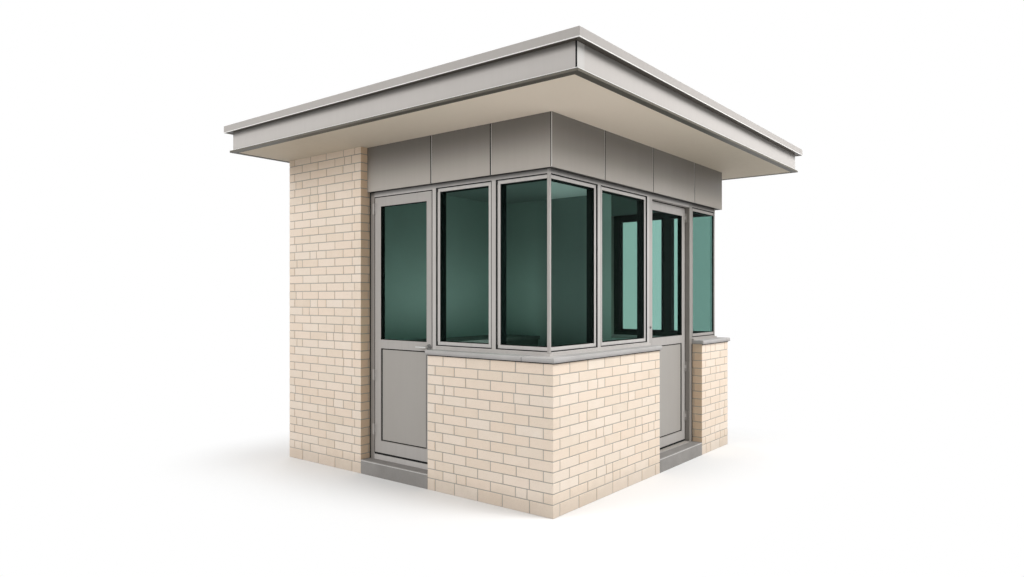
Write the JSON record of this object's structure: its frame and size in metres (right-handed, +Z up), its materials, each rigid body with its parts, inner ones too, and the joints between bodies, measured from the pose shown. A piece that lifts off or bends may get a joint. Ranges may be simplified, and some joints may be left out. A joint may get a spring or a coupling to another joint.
{
  "type": "kiosk booth",
  "caption": "Flat-roofed brick kiosk booth with glazed corners on low walls, two outward-opening doors, a frieze and a deep roof edge.",
  "frame": {"origin": "centre of the roof outline, on the ground", "axes": "+Z up, -Y out of the front with the hinged door beside the brick pier, +X out of the side with the second door"},
  "size_m": [3.764, 4.244, 3.045],
  "materials": {
    "brick": "pale cream brick with grey joints",
    "concrete": "smooth grey concrete",
    "cast_sill": "cast concrete, light grey",
    "glass": "dark green tinted glass",
    "panel_grey": "warm grey satin paint",
    "frame_grey": "warm grey satin paint",
    "beam_steel": "near-black primer",
    "roof_edge": "pale grey satin paint",
    "soffit_board": "beige boards, matt",
    "ceiling_white": "white plasterboard",
    "roof_timber": "timber and insulation",
    "roof_felt": "dark roofing felt",
    "hardware": "satin steel",
    "counter_laminate": "laminate board"
  },
  "bodies": {
    "booth": {"floor_slab": "concrete", "front_step": "concrete", "side_step": "concrete", "front_pier": "brick", "left_wall": "brick", "back_wall": "brick", "front_dado": "brick", "side_dado": "brick", "rear_side_dado": "brick", "back_dado": "brick", "window_sills": "cast_sill", "front_beam": "beam_steel", "side_beam": "beam_steel", "back_beam": "beam_steel", "front_frieze": "panel_grey", "side_frieze": "panel_grey", "back_frieze": "panel_grey", "corner_posts": "frame_grey", "front_window_frame": "frame_grey", "side_window_frame": "frame_grey", "rear_window_frames": "frame_grey", "front_sashes": "frame_grey", "side_sashes": "frame_grey", "rear_sashes": "frame_grey", "front_glass": "glass", "side_glass": "glass", "rear_glass": "glass", "front_door_frame": "frame_grey", "front_door_hinges": "frame_grey", "side_door_frame": "frame_grey", "side_door_hinges": "frame_grey", "roof_core": "roof_timber", "soffit": "soffit_board", "ceiling": "ceiling_white", "roof_membrane": "roof_felt", "fascias": "roof_edge", "drip_flanges": "roof_edge", "roof_coping": "roof_edge", "counter_top": "counter_laminate", "counter_cabinet": "counter_laminate"},
    "front_door": {"front_door_leaf": "frame_grey", "front_door_glass": "glass", "front_door_panel": "panel_grey", "front_door_roses": "hardware"},
    "front_lever": {"front_door_levers": "hardware"},
    "side_door": {"side_door_leaf": "frame_grey", "side_door_glass": "glass", "side_door_panel": "panel_grey", "side_door_lock": "hardware"}
  },
  "joints": [
    {"name": "front_door_hinge", "type": "hinge", "parent": "booth", "child": "front_door", "pos_m": [-0.661, -1.433, 0], "axis": [0, 0, -1], "range_deg": [0, 90]},
    {"name": "front_lever_turn", "type": "hinge", "parent": "front_door", "child": "front_lever", "pos_m": [-0.0015, -1.425, 1.11], "axis": [0, -1, 0], "range_deg": [0, 40]},
    {"name": "side_door_hinge", "type": "hinge", "parent": "booth", "child": "side_door", "pos_m": [1.148, 0.8955, 0], "axis": [0, 0, 1], "range_deg": [0, 90]}
  ]
}
